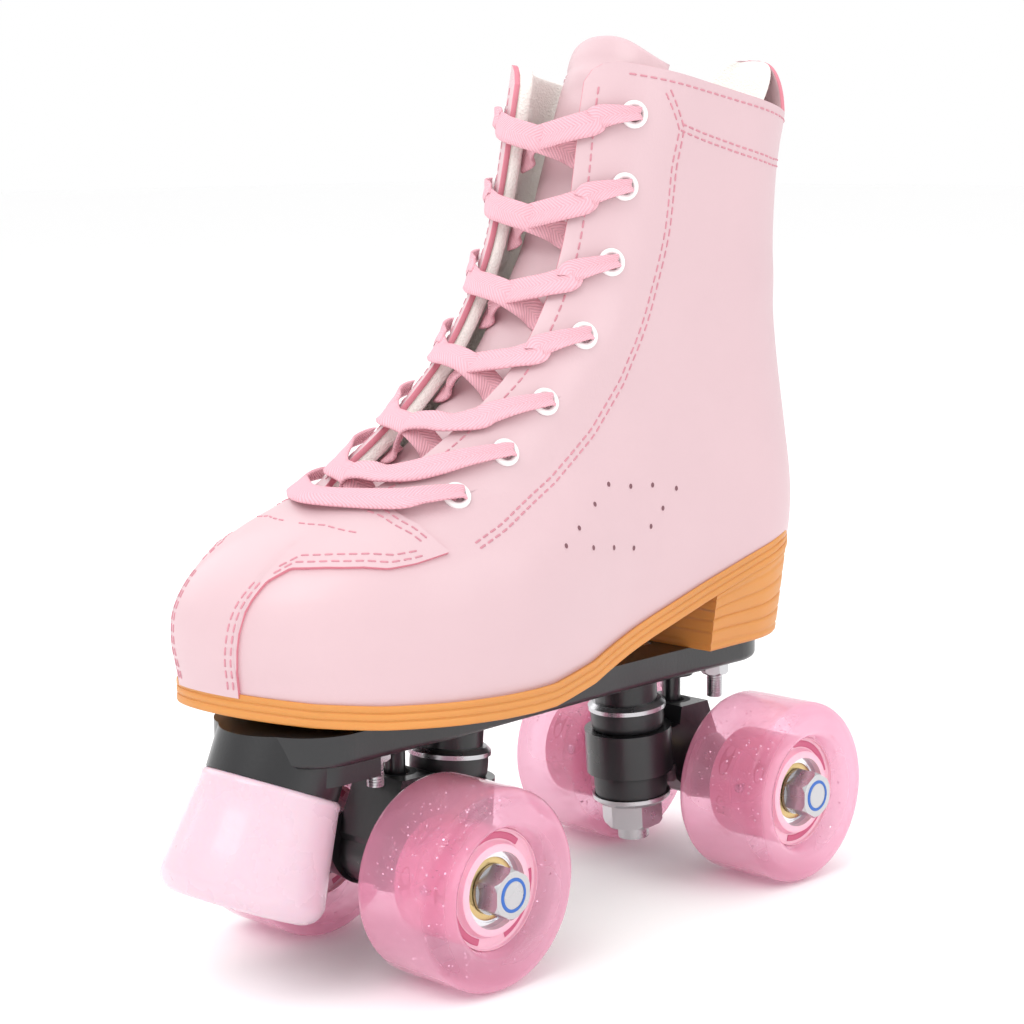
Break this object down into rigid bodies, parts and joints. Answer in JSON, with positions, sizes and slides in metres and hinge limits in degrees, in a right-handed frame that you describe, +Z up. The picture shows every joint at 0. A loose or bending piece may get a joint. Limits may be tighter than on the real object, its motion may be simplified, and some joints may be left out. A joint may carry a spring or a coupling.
{
  "type": "quad roller skate",
  "caption": "High-top lace-up quad roller skate boot on a plate with sprung trucks, wheels on ball bearings and a rubber toe stop.",
  "frame": {"origin": "on the ground, midway between the two axles and the left and right wheels", "axes": "toe points to -Y, the skate's own left side is +X, +Z up"},
  "size_m": [0.1092, 0.2468, 0.265],
  "materials": {
    "leather": "smooth satin",
    "lining_white": "woven",
    "stiffener": "matte",
    "board": "fibre board",
    "eyelet_white": "gloss enamel",
    "lace_pink": "woven",
    "gum": "satin",
    "nylon": "satin",
    "zinc": "zinc plated",
    "stop_pink": "gloss",
    "black_rubber": "satin",
    "urethane": "clear with glitter",
    "core_pink": "gloss",
    "bearing_steel": "polished"
  },
  "bodies": {
    "boot_and_plate": {"upper_left": "leather", "upper_right": "leather", "lining": "lining_white", "toe_puff": "stiffener", "heel_counter": "stiffener", "toe_overlay": "leather", "backstay": "leather", "pull_tab": "lining_white", "tongue": "leather", "insole_board": "board", "insole": "lining_white", "eyelets": "eyelet_white", "lace": "lace_pink", "sole": "gum", "plate": "nylon", "plate_bolts": "zinc", "plate_nuts": "zinc", "toe_stop": "stop_pink", "toe_stop_washer": "zinc", "toe_stop_screw": "zinc", "front_kingpin": "zinc", "front_kingpin_nut": "zinc", "front_upper_cushion": "black_rubber", "front_lower_cushion": "black_rubber", "front_cup_washers": "zinc", "front_pivot_pin": "zinc", "rear_kingpin": "zinc", "rear_kingpin_nut": "zinc", "rear_upper_cushion": "black_rubber", "rear_lower_cushion": "black_rubber", "rear_cup_washers": "zinc", "rear_pivot_pin": "zinc"},
    "front_truck": {"front_hanger": "nylon", "front_axle": "zinc", "front_axle_nuts": "zinc", "front_pivot_cup": "black_rubber", "front_left_bearing_inners": "bearing_steel", "front_left_balls": "bearing_steel", "front_right_bearing_inners": "bearing_steel", "front_right_balls": "bearing_steel"},
    "rear_truck": {"rear_hanger": "nylon", "rear_axle": "zinc", "rear_axle_nuts": "zinc", "rear_pivot_cup": "black_rubber", "rear_left_bearing_inners": "bearing_steel", "rear_left_balls": "bearing_steel", "rear_right_bearing_inners": "bearing_steel", "rear_right_balls": "bearing_steel"},
    "front_left_wheel": {"front_left_tyre": "urethane", "front_left_core": "core_pink", "front_left_bearing_outers": "bearing_steel"},
    "front_right_wheel": {"front_right_tyre": "urethane", "front_right_core": "core_pink", "front_right_bearing_outers": "bearing_steel"},
    "rear_left_wheel": {"rear_left_tyre": "urethane", "rear_left_core": "core_pink", "rear_left_bearing_outers": "bearing_steel"},
    "rear_right_wheel": {"rear_right_tyre": "urethane", "rear_right_core": "core_pink", "rear_right_bearing_outers": "bearing_steel"}
  },
  "joints": [
    {"name": "front_steer", "type": "hinge", "parent": "boot_and_plate", "child": "front_truck", "pos_m": [0, -0.062, 0.0485], "axis": [0, 0.9388, -0.3446], "range_deg": [-8, 8], "stiffness_Nm_per_rad": 20, "deforming": ["front_upper_cushion", "front_lower_cushion"]},
    {"name": "rear_steer", "type": "hinge", "parent": "boot_and_plate", "child": "rear_truck", "pos_m": [0, 0.062, 0.0485], "axis": [0, -0.9388, -0.3446], "range_deg": [-8, 8], "stiffness_Nm_per_rad": 20, "deforming": ["rear_upper_cushion", "rear_lower_cushion"]},
    {"name": "front_left_spin", "type": "hinge", "parent": "front_truck", "child": "front_left_wheel", "pos_m": [0.036, -0.069, 0.029], "axis": [1, 0, 0], "continuous": true},
    {"name": "front_right_spin", "type": "hinge", "parent": "front_truck", "child": "front_right_wheel", "pos_m": [-0.036, -0.069, 0.029], "axis": [1, 0, 0], "continuous": true},
    {"name": "rear_left_spin", "type": "hinge", "parent": "rear_truck", "child": "rear_left_wheel", "pos_m": [0.036, 0.069, 0.029], "axis": [1, 0, 0], "continuous": true},
    {"name": "rear_right_spin", "type": "hinge", "parent": "rear_truck", "child": "rear_right_wheel", "pos_m": [-0.036, 0.069, 0.029], "axis": [1, 0, 0], "continuous": true}
  ]
}
